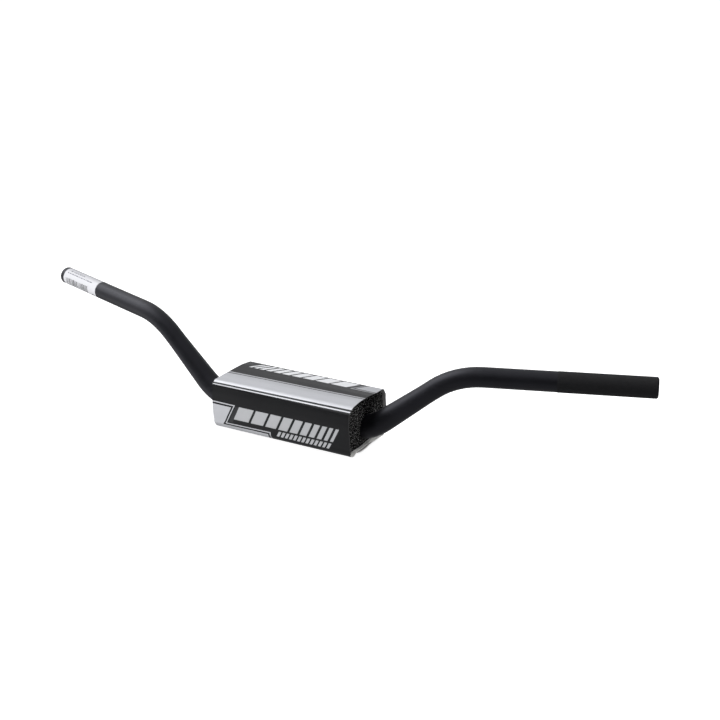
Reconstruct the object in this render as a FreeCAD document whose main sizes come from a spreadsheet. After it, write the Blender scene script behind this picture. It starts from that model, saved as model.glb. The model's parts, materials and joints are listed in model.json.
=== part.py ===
import FreeCAD, Part
import math
import os

import Sketcher

# Off-road motorcycle handlebar with a wrapped foam bar pad, in millimetres.
#
# The tube lies along X, and is thick where the clamps hold it. Each side bends up, tapers down to
# the grip size as it rises, and bends again into a grip that runs outwards and sweeps back.
# +X is the rider's left, +Y points back to the rider and +Z is up. The origin is on the tube's
# axis, midway between the two sides, where the clamps hold it.
#
# The pad is a foam block pushed over the tube through a slit in its underside, in a wrap of coated
# fabric. The wrap's two edges fold under the foam and overlap: the inner flap carries the hook
# tape and the closure flap, which is outside it, carries the loop tape.

DOC = FreeCAD.newDocument("handlebar")

# ---------------------------------------------------------------------------------------------
# Driving dimensions
# ---------------------------------------------------------------------------------------------
DIMENSIONS = [
    ("clamp_diameter", 28.6, "tube, outside, where the clamps hold it"),
    ("grip_diameter", 22.2, "tube, outside, at the grips"),
    ("wall", 4.0, "tube wall"),
    ("low_x", 102.0, "corner of the route at the foot of the riser"),
    ("low_radius", 72.0, "bend at the foot of the riser, on the axis"),
    ("high_x", 200.0, "corner of the route at the head of the riser"),
    ("high_y", 9.0, ""),
    ("high_z", 82.0, ""),
    ("high_radius", 86.0, "bend at the head of the riser, on the axis"),
    ("end_x", 401.0, "end of the grip: half the overall width"),
    ("end_y", 64.0, "sweep, back to the rider"),
    ("end_z", 93.0, "rise"),
    ("taper_margin", 12.5, "straight tube of grip size below the upper bend"),
    ("tip_chamfer", 1.2, "outer edge of the open end"),
    ("mouth_chamfer", 0.6, "inner edge of the open end"),
    ("pad_length", 183.4, "wrap, along X"),
    ("pad_shift", 11.7, "middle of the pad, towards +X"),
    ("pad_tilt", 1.1, "degrees that the pad's +X end rides up on the bend"),
    ("pad_front", 43.5, "tube axis to the wrap's front face"),
    ("pad_back", 42.0, "tube axis to the wrap's back face"),
    ("pad_top", 39.5, "tube axis to the wrap's top face"),
    ("pad_bottom", 21.3, "tube axis to the wrap's bottom face"),
    ("top_round", 9.0, "outer radius of the wrap's two upper corners"),
    ("bottom_round", 7.0, "outer radius of the wrap's two lower corners"),
    ("fabric", 1.0, "thickness of the coated fabric"),
    ("lip", 1.0, "flat of the wrap between its lower corner and each fold"),
    ("fold_gap", 0.1, "between the wrap and a flap at the fold"),
    ("foam_gap", 0.15, "between the foam and the wrap"),
    ("foam_recess", 4.0, "foam's end inside the wrap's end"),
    ("bore_gap", 0.3, "between the foam and the tube"),
    ("slit", 2.0, "width of the foam's slit"),
    ("tape", 0.9, "thickness of the hook tape and of the loop tape"),
    ("tape_gap", 0.05, "between the hook tape and the loop tape"),
    ("tape_front", 24.0, "tube axis to the front edge of the tapes"),
    ("tape_back", 5.0, "tube axis to the back edge of the tapes"),
    ("tape_inset", 0.8, "tape's end inside the wrap's end"),
    ("hem", 1.0, "flap beyond the edge of its tape"),
    ("slope_start", 33.0, "tube axis to where the inner flap starts to rise"),
    ("slope_end", 27.0, "tube axis to where the inner flap lies flat again"),
    ("flap_round", 8.0, "corners of the closure flap, seen from below"),
    ("seam_inset", 2.0, "edge of a tape to its row of stitches"),
    ("seam_width", 1.0, "channel that a row of stitches lies in"),
    ("seam_depth", 0.5, ""),
    ("thread", 0.25, "radius of the thread"),
    ("stitch", 2.4, "length of a stitch"),
    ("stitch_pitch", 3.2, ""),
    ("label_margin", 8.5, "end of the tube to the label"),
    ("label_length", 76.0, "along the tube"),
    ("label_width", 31.75, "round the tube"),
    ("label_start", 137.0, "degrees from the tube's top, forwards, to the label's lower edge"),
    ("label_thickness", 0.1, ""),
]

SHEET = DOC.addObject("Spreadsheet::Sheet", "Dimensions")
for row, (alias, value, note) in enumerate(DIMENSIONS, start=1):
    SHEET.set(f"A{row}", alias)
    SHEET.set(f"B{row}", str(value))
    SHEET.set(f"C{row}", note)
    SHEET.setAlias(f"B{row}", alias)
DOC.recompute()


def size(alias):
    """The value of a driving dimension."""
    return float(getattr(SHEET, alias))


def bind(obj, **formulas):
    """Binds properties to formulas in which a word after $ is a driving dimension."""
    for name, formula in formulas.items():
        obj.setExpression(name, formula.replace("$", "Dimensions."))
    return obj


# ---------------------------------------------------------------------------------------------
# The tube's route: straight, lower bend, riser, upper bend, grip
# ---------------------------------------------------------------------------------------------
X_AXIS = FreeCAD.Vector(1, 0, 0)
Y_AXIS = FreeCAD.Vector(0, 1, 0)
Z_AXIS = FreeCAD.Vector(0, 0, 1)

RISER_SPAN = "sqrt(($high_x - $low_x)^2 + $high_y^2 + $high_z^2)"
GRIP_SPAN = "sqrt(($end_x - $high_x)^2 + ($end_y - $high_y)^2 + ($end_z - $high_z)^2)"
LOW_TURN = f"acos(($high_x - $low_x) / {RISER_SPAN})"
HIGH_TURN = (
    "acos((($high_x - $low_x) * ($end_x - $high_x) + $high_y * ($end_y - $high_y)"
    f" + $high_z * ($end_z - $high_z)) / ({RISER_SPAN} * {GRIP_SPAN}))"
)
LOW_TANGENT = f"($low_radius * tan({LOW_TURN} / 2))"
HIGH_TANGENT = f"($high_radius * tan({HIGH_TURN} / 2))"
LOW_ARC = f"($low_radius * pi / 180 * {LOW_TURN} / 1deg)"
TAPER_RUN = f"({RISER_SPAN} - {LOW_TANGENT} - {HIGH_TANGENT} - $taper_margin)"
CLAMP_R = "$clamp_diameter / 2"
GRIP_R = "$grip_diameter / 2"
RISER_R = f"({CLAMP_R} - ({CLAMP_R} - {GRIP_R}) * {LOW_ARC} / ({LOW_ARC} + {TAPER_RUN}))"


def bend(start, corner, finish, radius):
    """Tangent points, centre and directions of the arc that rounds a corner of the route."""
    towards = (corner - start).normalize()
    away = (finish - corner).normalize()
    reach = radius * math.tan(towards.getAngle(away) / 2)
    entry = corner - towards * reach
    inwards = (away - towards * towards.dot(away)).normalize()
    return {
        "entry": entry,
        "leave": corner + away * reach,
        "centre": entry + inwards * radius,
        "towards": towards,
        "away": away,
    }


def route(side):
    """The route of one side's tube: side is 1 for +X and -1 for -X."""
    low = FreeCAD.Vector(side * size("low_x"), 0, 0)
    high = FreeCAD.Vector(side * size("high_x"), size("high_y"), size("high_z"))
    end = FreeCAD.Vector(side * size("end_x"), size("end_y"), size("end_z"))
    lower = bend(FreeCAD.Vector(0, 0, 0), low, high, size("low_radius"))
    upper = bend(low, high, end, size("high_radius"))
    return lower, upper, end


def facing(point, direction):
    """Placement that puts an object's Z axis along a direction."""
    return FreeCAD.Placement(point, FreeCAD.Rotation(Z_AXIS, direction))


def turning(arc):
    """Placement of a circle or torus whose first point is where an arc of the route starts."""
    outwards = (arc["entry"] - arc["centre"]).normalize()
    rotation = FreeCAD.Rotation(outwards, arc["towards"], outwards.cross(arc["towards"]), "XYZ")
    return FreeCAD.Placement(arc["centre"], rotation)


def primitive(kind, name, placement, **formulas):
    obj = DOC.addObject(kind, name)
    obj.Placement = placement
    return bind(obj, **formulas)


def low_bend(name, arc, growth):
    """The tapering bend: a circle that shrinks as it is swept along an arc."""
    spine = primitive(
        "Part::Circle", f"{name}_spine", turning(arc), Radius="$low_radius", Angle2=LOW_TURN
    )
    first = primitive(
        "Part::Circle",
        f"{name}_first",
        facing(arc["entry"], arc["towards"]),
        Radius=f"{CLAMP_R} + {growth}",
    )
    last = primitive(
        "Part::Circle",
        f"{name}_last",
        facing(arc["leave"], arc["away"]),
        Radius=f"{RISER_R} + {growth}",
    )
    sweep = DOC.addObject("Part::Sweep", name)
    sweep.Sections = [first, last]
    sweep.Spine = (spine, ["Edge1"])
    sweep.Solid = True
    return sweep


def riser(name, lower, upper, growth):
    """The straight part of the riser: a cone and, above it, a cylinder of grip size."""
    cone = primitive(
        "Part::Cone",
        f"{name}_cone",
        facing(lower["leave"], lower["away"]),
        Radius1=f"{RISER_R} + {growth}",
        Radius2=f"{GRIP_R} + {growth}",
        Height=TAPER_RUN,
    )
    top = upper["entry"] - upper["towards"] * size("taper_margin")
    cylinder = primitive(
        "Part::Cylinder",
        f"{name}_top",
        facing(top, upper["towards"]),
        Radius=f"{GRIP_R} + {growth}",
        Height="$taper_margin",
    )
    return [cone, cylinder]


def grip(name, upper, end, growth, stop, chamfer, flare):
    """The upper bend and the grip, with a cone at its end. A positive flare widens the cone."""
    torus = primitive(
        "Part::Torus",
        f"{name}_bend",
        turning(upper),
        Radius1="$high_radius",
        Radius2=f"{GRIP_R} + {growth}",
        Angle3=HIGH_TURN,
    )
    cylinder = primitive(
        "Part::Cylinder",
        f"{name}_run",
        facing(upper["leave"], upper["away"]),
        Radius=f"{GRIP_R} + {growth}",
        Height=f"{GRIP_SPAN} - {HIGH_TANGENT} - {stop}",
    )
    tip = primitive(
        "Part::Cone",
        f"{name}_tip",
        facing(end - upper["away"] * size(chamfer), upper["away"]),
        Radius1=f"{GRIP_R} + {growth}",
        Radius2=f"{GRIP_R} + {growth} + {flare}",
        Height=f"${chamfer}",
    )
    return [torus, cylinder, tip]


def rod(name, growth, stop="", chamfer="", flare=""):
    """A solid rod along the tube's route, with its radius changed by growth. With no stop it ends
    at the head of the risers."""
    lower, upper, end = route(1)
    straight = primitive(
        "Part::Cylinder",
        f"{name}_clamp",
        facing(FreeCAD.Vector(-lower["entry"].x, 0, 0), X_AXIS),
        Radius=f"{CLAMP_R} + {growth}",
        Height=f"2 * ($low_x - {LOW_TANGENT})",
    )
    pieces = [straight]
    for side, word in ((1, "left"), (-1, "right")):
        lower, upper, end = route(side)
        pieces.append(low_bend(f"{name}_{word}_foot", lower, growth))
        pieces += riser(f"{name}_{word}_riser", lower, upper, growth)
        if stop:
            pieces += grip(f"{name}_{word}_grip", upper, end, growth, stop, chamfer, flare)
    fused = DOC.addObject("Part::MultiFuse", name)
    fused.Shapes = pieces
    fused.Refine = True
    return fused


# ---------------------------------------------------------------------------------------------
# Handlebar tube and its label
# ---------------------------------------------------------------------------------------------
def cut(label, base, tool):
    obj = DOC.addObject("Part::Cut", label)
    obj.Base = base
    obj.Tool = tool
    obj.Label = label
    return obj


def handlebar_tube():
    """One open tube: the bore is the same route with the wall taken off its radius."""
    outside = rod("outside", "0", "$tip_chamfer", "tip_chamfer", "(-$tip_chamfer)")
    bore = rod("bore", "(-$wall)", "0", "mouth_chamfer", "$mouth_chamfer")
    return cut("handlebar_tube", outside, bore)


def barcode_label():
    """Paper label stuck near the end of the -X grip, over the tube's front and top."""
    lower, upper, end = route(-1)
    start = end - upper["away"] * (size("label_margin") + size("label_length"))
    top = (Z_AXIS - upper["away"] * upper["away"].z).normalize()
    rotation = FreeCAD.Rotation(top, upper["away"].cross(top), upper["away"], "ZXY")
    rotation = rotation.multiply(FreeCAD.Rotation(Z_AXIS, -size("label_start")))
    layers = []
    for name, growth in (("label_skin", " + $label_thickness"), ("label_core", "")):
        layer = primitive(
            "Part::Cylinder",
            name,
            FreeCAD.Placement(start, rotation),
            Radius=GRIP_R + growth,
            Height="$label_length",
            Angle=f"$label_width / ({GRIP_R}) * 180 / pi",
        )
        layers.append(layer)
    return cut("barcode_label", *layers)


# ---------------------------------------------------------------------------------------------
# Pad: a section in the YZ plane, padded along X and then filleted
# ---------------------------------------------------------------------------------------------
ORIGIN = -1  # Sketcher's number for its own origin point
NEAR = 0.01  # how close an edge is to the corner that names it


def pad_placement():
    """The pad is pushed towards +X and tilted about Y, as one."""
    tilt = FreeCAD.Rotation(Y_AXIS, -size("pad_tilt"))
    return FreeCAD.Placement(tilt.multVec(X_AXIS * size("pad_shift")), tilt)


def terms(words):
    """Signs and names in a sum of driving dimensions, such as "-pad_front + fabric"."""
    joined = words.replace("- ", "-").replace("+ ", "+")
    return [(-1 if t[0] == "-" else 1, t.lstrip("+-")) for t in joined.split()]


def total(words):
    return sum(sign * size(alias) for sign, alias in terms(words))


def formula(words):
    return " ".join(f"{'-' if sign < 0 else '+'} ${alias}" for sign, alias in terms(words))


def section(body, corners):
    """A closed outline with straight edges. Each corner is bound to two sums, for Y and Z."""
    sketch = body.newObject("Sketcher::SketchObject", f"{body.Name}_section")
    plane = next(f for f in body.Origin.OriginFeatures if f.Role == "YZ_Plane")
    sketch.AttachmentSupport = (plane, [""])
    sketch.MapMode = "FlatFace"
    points = [FreeCAD.Vector(total(y), total(z), 0) for y, z in corners]
    for here, there in zip(points, points[1:] + points[:1]):
        sketch.addGeometry(Part.LineSegment(here, there), False)
    for index, (point, sums) in enumerate(zip(points, corners)):
        before = (index - 1) % len(points)
        sketch.addConstraint(Sketcher.Constraint("Coincident", before, 2, index, 1))
        for kind, value, words in zip(("DistanceX", "DistanceY"), point, sums):
            constraint = Sketcher.Constraint(kind, ORIGIN, 1, index, 1, value)
            number = sketch.addConstraint(constraint)
            bind(sketch, **{f"Constraints[{number}]": f"0 {formula(words)}"})
    return sketch


def padded_body(label, corners, inset="0"):
    """A body whose section runs along the pad, and stops short of the wrap's ends by inset."""
    body = DOC.addObject("PartDesign::Body", label)
    body.Label = label
    pad = body.newObject("PartDesign::Pad", f"{label}_pad")
    pad.Profile = section(body, corners)
    pad.SideType = "Symmetric"
    bind(pad, Length=f"$pad_length - 2 * {inset}")
    DOC.recompute()
    body.Placement = pad_placement()
    return body


def edges_along(shape, direction, corners):
    """Names of the straight edges along a direction that pass through the given corners."""
    found = []
    for number, edge in enumerate(shape.Edges, start=1):
        first, last = edge.Vertexes[0].Point, edge.Vertexes[-1].Point
        if (last - first).cross(direction).Length > NEAR:
            continue
        for corner in corners:
            if (corner - first).cross(direction).Length < NEAR:
                found.append(f"Edge{number}")
    return found


def fillet(body, direction, corners, radius):
    """Rounds the edges of a body that run along a direction through the given corners."""
    base = body.Tip
    rounded = body.newObject("PartDesign::Fillet", f"{body.Name}_round")
    rounded.Base = (base, edges_along(base.Shape, direction, corners))
    bind(rounded, Radius=radius)
    DOC.recompute()
    return rounded


def across(*corners):
    """Points of the section plane, from pairs of sums for Y and Z."""
    return [FreeCAD.Vector(0, total(y), total(z)) for y, z in corners]


FRONT, BACK, TOP, BOTTOM = "-pad_front", "pad_back", "pad_top", "-pad_bottom"
FRONT_FOLD = "-pad_front + bottom_round + lip"
BACK_FOLD = "pad_back - bottom_round - lip"


def pad_cover():
    """The wrap: front, top and back, down to the two folds."""
    inner_front, inner_back = FRONT + " + fabric", BACK + " - fabric"
    inner_top, inner_bottom = TOP + " - fabric", BOTTOM + " + fabric"
    body = padded_body(
        "pad_cover",
        [
            (FRONT_FOLD, BOTTOM),
            (FRONT, BOTTOM),
            (FRONT, TOP),
            (BACK, TOP),
            (BACK, BOTTOM),
            (BACK_FOLD, BOTTOM),
            (BACK_FOLD, inner_bottom),
            (inner_back, inner_bottom),
            (inner_back, inner_top),
            (inner_front, inner_top),
            (inner_front, inner_bottom),
            (FRONT_FOLD, inner_bottom),
        ],
    )
    fillet(body, X_AXIS, across((FRONT, TOP), (BACK, TOP)), "$top_round")
    fillet(body, X_AXIS, across((FRONT, BOTTOM), (BACK, BOTTOM)), "$bottom_round")
    inner_upper = across((inner_front, inner_top), (inner_back, inner_top))
    fillet(body, X_AXIS, inner_upper, "$top_round - $fabric")
    inner_lower = across((inner_front, inner_bottom), (inner_back, inner_bottom))
    fillet(body, X_AXIS, inner_lower, "$bottom_round - $fabric")
    return body


# Heights of the layers under the foam, from the bottom up
FLAP_TOP = BOTTOM + " + fabric"
LOOP_TOP = FLAP_TOP + " + tape"
HOOK_BOTTOM = LOOP_TOP + " + tape_gap"
HOOK_TOP = HOOK_BOTTOM + " + tape"
INNER_TOP = HOOK_TOP + " + fabric"
SEAMS = ("-tape_front + seam_inset", "tape_back - seam_inset - seam_width")


def channelled(bottom, front, back, top):
    """A strip's section, with a channel for each row of stitches in its underside."""
    corners = [(front, top), (front, bottom)]
    for seam in SEAMS:
        far = seam + " + seam_width"
        roof = bottom + " + seam_depth"
        corners += [(seam, bottom), (seam, roof), (far, roof), (far, bottom)]
    return corners + [(back, bottom), (back, top)]


def closure_flap():
    """Outer flap: hinged on the back fold, it closes forwards under the pad."""
    tip = "-tape_front - hem"
    root = BACK_FOLD + " - fold_gap"
    body = padded_body("closure_flap", channelled(BOTTOM, tip, root, FLAP_TOP))
    half = FreeCAD.Vector(size("pad_length") / 2, total(tip), 0)
    corners = [half, FreeCAD.Vector(-half.x, half.y, 0)]
    fillet(body, Z_AXIS, corners, "$flap_round")
    return body


def inner_flap():
    """Hinged on the front fold, it rises over the closure flap's tip and lies under the foam."""
    root = FRONT_FOLD + " + fold_gap"
    tip = "tape_back + hem"
    return padded_body(
        "inner_flap",
        [
            (root, BOTTOM),
            ("-slope_start", BOTTOM),
            ("-slope_end", HOOK_TOP),
            (tip, HOOK_TOP),
            (tip, INNER_TOP),
            ("-slope_end", INNER_TOP),
            ("-slope_start", FLAP_TOP),
            (root, FLAP_TOP),
        ],
    )


def hook_tape():
    corners = channelled(HOOK_BOTTOM, "-tape_front", "tape_back", HOOK_TOP)
    return padded_body("hook_tape", corners, "$tape_inset")


def loop_tape():
    front, back = "-tape_front", "tape_back"
    corners = [(front, LOOP_TOP), (front, FLAP_TOP), (back, FLAP_TOP), (back, LOOP_TOP)]
    return padded_body("loop_tape", corners, "$tape_inset")


def foam_core():
    """Foam block, less the tube's path through it and the slit that it was pushed on by."""
    skin = " + fabric + foam_gap"
    front, bottom = FRONT + skin, INNER_TOP + " + foam_gap"
    back, top = BACK + skin.replace("+", "-"), TOP + skin.replace("+", "-")
    corners = [(front, top), (back, top), (back, bottom), (front, bottom)]
    block = padded_body("foam_block", corners, "$foam_recess")
    fillet(block, X_AXIS, across((front, top), (back, top)), "$top_round - $fabric")
    lower = across((front, bottom), (back, bottom))
    fillet(block, X_AXIS, lower, "$bottom_round - 2 * $fabric")
    corner = FreeCAD.Vector(-size("pad_length"), -size("slit") / 2, -size("pad_bottom"))
    slot = primitive(
        "Part::Box",
        "foam_slit",
        pad_placement().multiply(FreeCAD.Placement(corner, FreeCAD.Rotation())),
        Length="2 * $pad_length",
        Width="$slit",
        Height="$pad_bottom",
    )
    path = DOC.addObject("Part::MultiFuse", "tube_path")
    path.Shapes = [rod("clearance", "$bore_gap"), slot]
    return cut("foam_core", block, path)


def stitching(label, height):
    """Two rows of stitches lying in the channels of a seam, as one group."""
    count = int((size("pad_length") - 2 * size("flap_round")) / size("stitch_pitch"))
    across_channel = size("seam_width") / 2
    stitches = []
    for seam in SEAMS:
        for index in range(count):
            x = (index - (count - 1) / 2) * size("stitch_pitch") - size("stitch") / 2
            start = FreeCAD.Vector(x, total(seam) + across_channel, height)
            stitches.append(Part.makeCylinder(size("thread"), size("stitch"), start, X_AXIS))
    obj = DOC.addObject("Part::Feature", label)
    obj.Label = label
    obj.Shape = Part.makeCompound(stitches)
    obj.Placement = pad_placement()
    return obj


# ---------------------------------------------------------------------------------------------
# The assembly
# ---------------------------------------------------------------------------------------------
NODES = [
    handlebar_tube(),
    barcode_label(),
    foam_core(),
    pad_cover(),
    inner_flap(),
    hook_tape(),
    stitching("hook_stitching", total(HOOK_BOTTOM) + size("seam_depth") - size("thread")),
    closure_flap(),
    loop_tape(),
    stitching("loop_stitching", total(BOTTOM) + size("seam_depth") - size("thread")),
]
DOC.recompute()

for item in DOC.Objects:
    if "Invalid" in item.State or "Error" in item.State:
        raise RuntimeError(f"{item.Label} failed: {item.State}")
for node in NODES:
    if node.Shape.isNull() or not node.Shape.isValid():
        raise RuntimeError(f"{node.Label} has no valid shape")

os.makedirs("parts", exist_ok=True)
for node in NODES:
    node.Shape.exportStep(f"parts/{node.Label}.step")
    box = node.Shape.optimalBoundingBox(False)
    print(
        f"{node.Label}: {len(node.Shape.Solids)} solids, {node.Shape.Volume:.1f} mm3,"
        f" x {box.XMin:.2f} {box.XMax:.2f}, y {box.YMin:.2f} {box.YMax:.2f},"
        f" z {box.ZMin:.2f} {box.ZMax:.2f}"
    )
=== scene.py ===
import json
import math
import random

import bmesh
import bpy
import numpy as np
from mathutils import Matrix, Vector, noise
from mathutils.geometry import delaunay_2d_cdt


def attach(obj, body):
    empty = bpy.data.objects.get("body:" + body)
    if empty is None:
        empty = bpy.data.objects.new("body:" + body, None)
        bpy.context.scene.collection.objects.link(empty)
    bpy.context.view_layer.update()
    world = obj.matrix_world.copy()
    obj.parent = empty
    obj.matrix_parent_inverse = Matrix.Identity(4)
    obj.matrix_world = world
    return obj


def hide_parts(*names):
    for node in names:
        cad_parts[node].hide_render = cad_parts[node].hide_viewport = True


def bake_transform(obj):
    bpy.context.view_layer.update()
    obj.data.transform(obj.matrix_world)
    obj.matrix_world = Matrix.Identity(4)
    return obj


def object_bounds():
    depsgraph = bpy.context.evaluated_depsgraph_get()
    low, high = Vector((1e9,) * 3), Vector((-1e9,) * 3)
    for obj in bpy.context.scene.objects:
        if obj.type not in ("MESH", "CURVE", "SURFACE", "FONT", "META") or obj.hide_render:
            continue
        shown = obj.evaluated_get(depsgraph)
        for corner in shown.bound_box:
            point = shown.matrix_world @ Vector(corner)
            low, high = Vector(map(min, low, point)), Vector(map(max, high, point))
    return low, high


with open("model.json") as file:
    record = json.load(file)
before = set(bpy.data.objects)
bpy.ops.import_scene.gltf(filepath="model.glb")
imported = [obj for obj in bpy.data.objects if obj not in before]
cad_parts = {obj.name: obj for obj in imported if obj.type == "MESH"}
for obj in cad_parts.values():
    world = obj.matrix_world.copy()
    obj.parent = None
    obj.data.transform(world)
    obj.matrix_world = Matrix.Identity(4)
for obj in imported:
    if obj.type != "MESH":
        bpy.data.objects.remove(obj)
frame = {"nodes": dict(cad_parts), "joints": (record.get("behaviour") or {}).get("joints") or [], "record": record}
CAD_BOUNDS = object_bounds()

# An off-road handlebar with a printed, foam-filled bar pad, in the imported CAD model's frame: X along
# the bar, Y back to the rider, Z up. Everything is in metres, apart from the prints, the label
# and the wrap's pushes. Those are in millimetres, and MM turns them into metres where they are used.
MM = 0.001
X_AXIS, Y_AXIS, Z_AXIS = Vector((1, 0, 0)), Vector((0, 1, 0)), Vector((0, 0, 1))

# --- Camera ---
CAMERA_PLACE = Vector((0.61385, -0.98303, 0.43887))
CAMERA_AZIMUTH = math.radians(28.11)
CAMERA_ELEVATION = math.radians(17.81)
CAMERA_ROLL = math.radians(2.32)
LENS, SENSOR = 52.987, 36.0


def make_camera():
    x, y = math.cos(CAMERA_AZIMUTH), math.sin(CAMERA_AZIMUTH)
    level = Vector((x, y, 0))
    reach = math.cos(CAMERA_ELEVATION)
    back = Vector((y * reach, -x * reach, math.sin(CAMERA_ELEVATION)))
    upright = back.cross(level)
    right = level * math.cos(CAMERA_ROLL) + upright * math.sin(CAMERA_ROLL)
    up = upright * math.cos(CAMERA_ROLL) - level * math.sin(CAMERA_ROLL)
    data = bpy.data.cameras.new("camera")
    data.lens = LENS
    data.sensor_width = SENSOR
    data.clip_start = 0.01
    data.clip_end = 60
    camera = bpy.data.objects.new("camera", data)
    camera.matrix_world = Matrix.Translation(CAMERA_PLACE) @ Matrix((right, up, back)).transposed().to_4x4()
    bpy.context.scene.collection.objects.link(camera)
    bpy.context.scene.camera = camera


# --- Places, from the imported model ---
JOINTS = {joint["name"]: joint for joint in frame["joints"]}
MOUNTS = {mount["name"]: mount for mount in frame["record"]["mounts"]}
TUBE = frame["nodes"]["handlebar_tube"]

# The pad's own frame: its X axis is the fold lines' direction, which is tilted about Y.
PAD_X = Vector(JOINTS["closure_fold"]["axis"]).normalized()
PAD_Z = PAD_X.cross(Y_AXIS)
PAD_SHIFT = Vector(JOINTS["closure_fold"]["pos_m"]).dot(PAD_X)
PAD_FRAME = np.array([PAD_X, Y_AXIS, PAD_Z])


def to_pad(points):
    """Points in the pad's frame, whose origin is halfway along the pad, on the bar's axis."""
    return np.asarray(points, float) @ PAD_FRAME.T - [PAD_SHIFT, 0, 0]


def from_pad(points):
    return (np.asarray(points, float) + [PAD_SHIFT, 0, 0]) @ PAD_FRAME


def pad_extent(node):
    """Lowest and highest corners of a CAD node in the pad's frame."""
    points = to_pad([v.co for v in frame["nodes"][node].data.vertices])
    return points.min(0), points.max(0)


WRAP_LOW, WRAP_HIGH = pad_extent("pad_cover")
FLAP_TIP = pad_extent("closure_flap")[0][1]
INNER_TIP = pad_extent("inner_flap")[1][1]
HOOK_LOW, HOOK_HIGH = pad_extent("hook_tape")
LOOP_LOW, LOOP_HIGH = pad_extent("loop_tape")
FOAM_LOW, FOAM_HIGH = pad_extent("foam_core")
PAD_HALF = (WRAP_HIGH[0] - WRAP_LOW[0]) / 2
FOAM_HALF = (FOAM_HIGH[0] - FOAM_LOW[0]) / 2
BACK_FOLD = to_pad(JOINTS["closure_fold"]["pos_m"])[1]
FRONT_FOLD = to_pad(JOINTS["inner_flap_fold"]["pos_m"])[1]
FRONT, BACK = WRAP_LOW[1], WRAP_HIGH[1]
BOTTOM, TOP = WRAP_LOW[2], WRAP_HIGH[2]
FABRIC = 1.0 * MM
TOP_ROUND = 9.0 * MM
BOTTOM_ROUND = 7.0 * MM


# --- Materials ---
def feed(tree, socket, value):
    """Set a node's input to a value, or link another node's output to it."""
    if isinstance(value, bpy.types.NodeSocket):
        tree.links.new(value, socket)
    else:
        socket.default_value = value


def add_node(tree, kind, **inputs):
    node = tree.nodes.new(kind)
    for name, value in inputs.items():
        feed(tree, node.inputs[name.replace("_", " ")], value)
    return node


def math_node(tree, operation, first, second=0.0, kind="ShaderNodeMath"):
    node = tree.nodes.new(kind)
    node.operation = operation
    feed(tree, node.inputs[0], first)
    feed(tree, node.inputs[1], second)
    return node.outputs["Value"]


class Shader:
    """A material whose nodes are added by name, each with its inputs given as values or sockets."""

    def __init__(self, name):
        self.material = bpy.data.materials.new(name)
        self.material.use_nodes = True
        self.tree = self.material.node_tree
        self.principled = self.tree.nodes["Principled BSDF"]
        self.place = self.add("ShaderNodeTexCoord").outputs["Object"]

    def add(self, kind, **inputs):
        return add_node(self.tree, kind, **inputs)

    def surface(self, **inputs):
        """Set the surface's inputs and give the finished material."""
        for name, value in inputs.items():
            feed(self.tree, self.principled.inputs[name.replace("_", " ")], value)
        return self.material

    def noise(self, scale, detail=3.0, roughness=0.5, stretch=None):
        place = self.place
        if stretch:
            place = self.add("ShaderNodeMapping", Vector=place, Scale=stretch).outputs["Vector"]
        node = self.add("ShaderNodeTexNoise", Vector=place, Scale=scale, Detail=detail, Roughness=roughness)
        return node.outputs["Fac"]

    def cells(self, scale):
        return self.add("ShaderNodeTexVoronoi", Vector=self.place, Scale=scale).outputs["Distance"]

    def math(self, operation, first, second=0.0):
        return math_node(self.tree, operation, first, second)

    def wave(self, value, pitch):
        """A sine whose wavelength is the pitch."""
        return self.math("SINE", self.math("MULTIPLY", value, 2 * math.pi / pitch))

    def weave(self, axes, pitch):
        """Waves along two of the object's axes, crossing like threads."""
        first, second = [self.wave(self.axis(index), pitch) for index in axes]
        return self.math("MULTIPLY", first, second)

    def span(self, value, low, high, start=0.0, end=1.0):
        """A value from start..end spread over low..high."""
        node = self.add(
            "ShaderNodeMapRange", Value=value, From_Min=start, From_Max=end, To_Min=low, To_Max=high
        )
        return node.outputs["Result"]

    def ramp(self, value, *stops):
        node = self.add("ShaderNodeValToRGB", Fac=value)
        ends = node.color_ramp.elements
        while len(ends) < len(stops):
            ends.new(0.5)
        for element, (position, color) in zip(ends, stops):
            element.position = position
            element.color = (*color, 1)
        return node.outputs["Color"]

    def bump(self, height, strength, distance, below=None):
        node = self.add("ShaderNodeBump", Height=height, Strength=strength, Distance=distance)
        if below:
            feed(self.tree, node.inputs["Normal"], below)
        return node.outputs["Normal"]

    def axis(self, index):
        return self.add("ShaderNodeSeparateXYZ", Vector=self.place).outputs[index]


# Pitches of the materials' patterns.
PRINT_WEAVE = 0.9 * MM
HATCH_PITCH = 1.1 * MM
BACKING_WEAVE = 0.7 * MM
TAPE_RIB = 1.3 * MM
THREAD_LAY = 0.4 * MM


def anodised():
    """Satin black anodising over a fine blasted surface, a little blue where it shines."""
    s = Shader("anodised_black")
    cloud = s.noise(55, 4, 0.6)
    grain = s.noise(5200, 2, 0.6)
    color = s.ramp(cloud, (0.35, (0.0045, 0.0045, 0.0055)), (0.75, (0.0065, 0.0065, 0.0080)))
    rough = s.span(s.noise(420, 5, 0.65), 0.36, 0.46, 0.3, 0.7)
    drawn = s.noise(900, 3, 0.5, stretch=(0.06, 1, 1))
    normal = s.bump(grain, 0.10, 0.00004, s.bump(drawn, 0.05, 0.00004))
    s.surface(Base_Color=color, Roughness=rough, Normal=normal)
    return s.surface(Specular_IOR_Level=0.42, Specular_Tint=(0.88, 0.88, 1.0, 1))


def knurled():
    """The same anodising on the crests of the knurl, rubbed matter and greyer."""
    s = Shader("anodised_knurl")
    wear = s.noise(240, 5, 0.7)
    color = s.ramp(wear, (0.35, (0.0045, 0.0045, 0.0050)), (0.70, (0.0072, 0.0072, 0.0080)))
    rough = s.span(wear, 0.50, 0.62, 0.3, 0.7)
    normal = s.bump(s.noise(6000, 2), 0.15, 0.00004)
    return s.surface(Base_Color=color, Roughness=rough, Specular_IOR_Level=0.34, Normal=normal)


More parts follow.
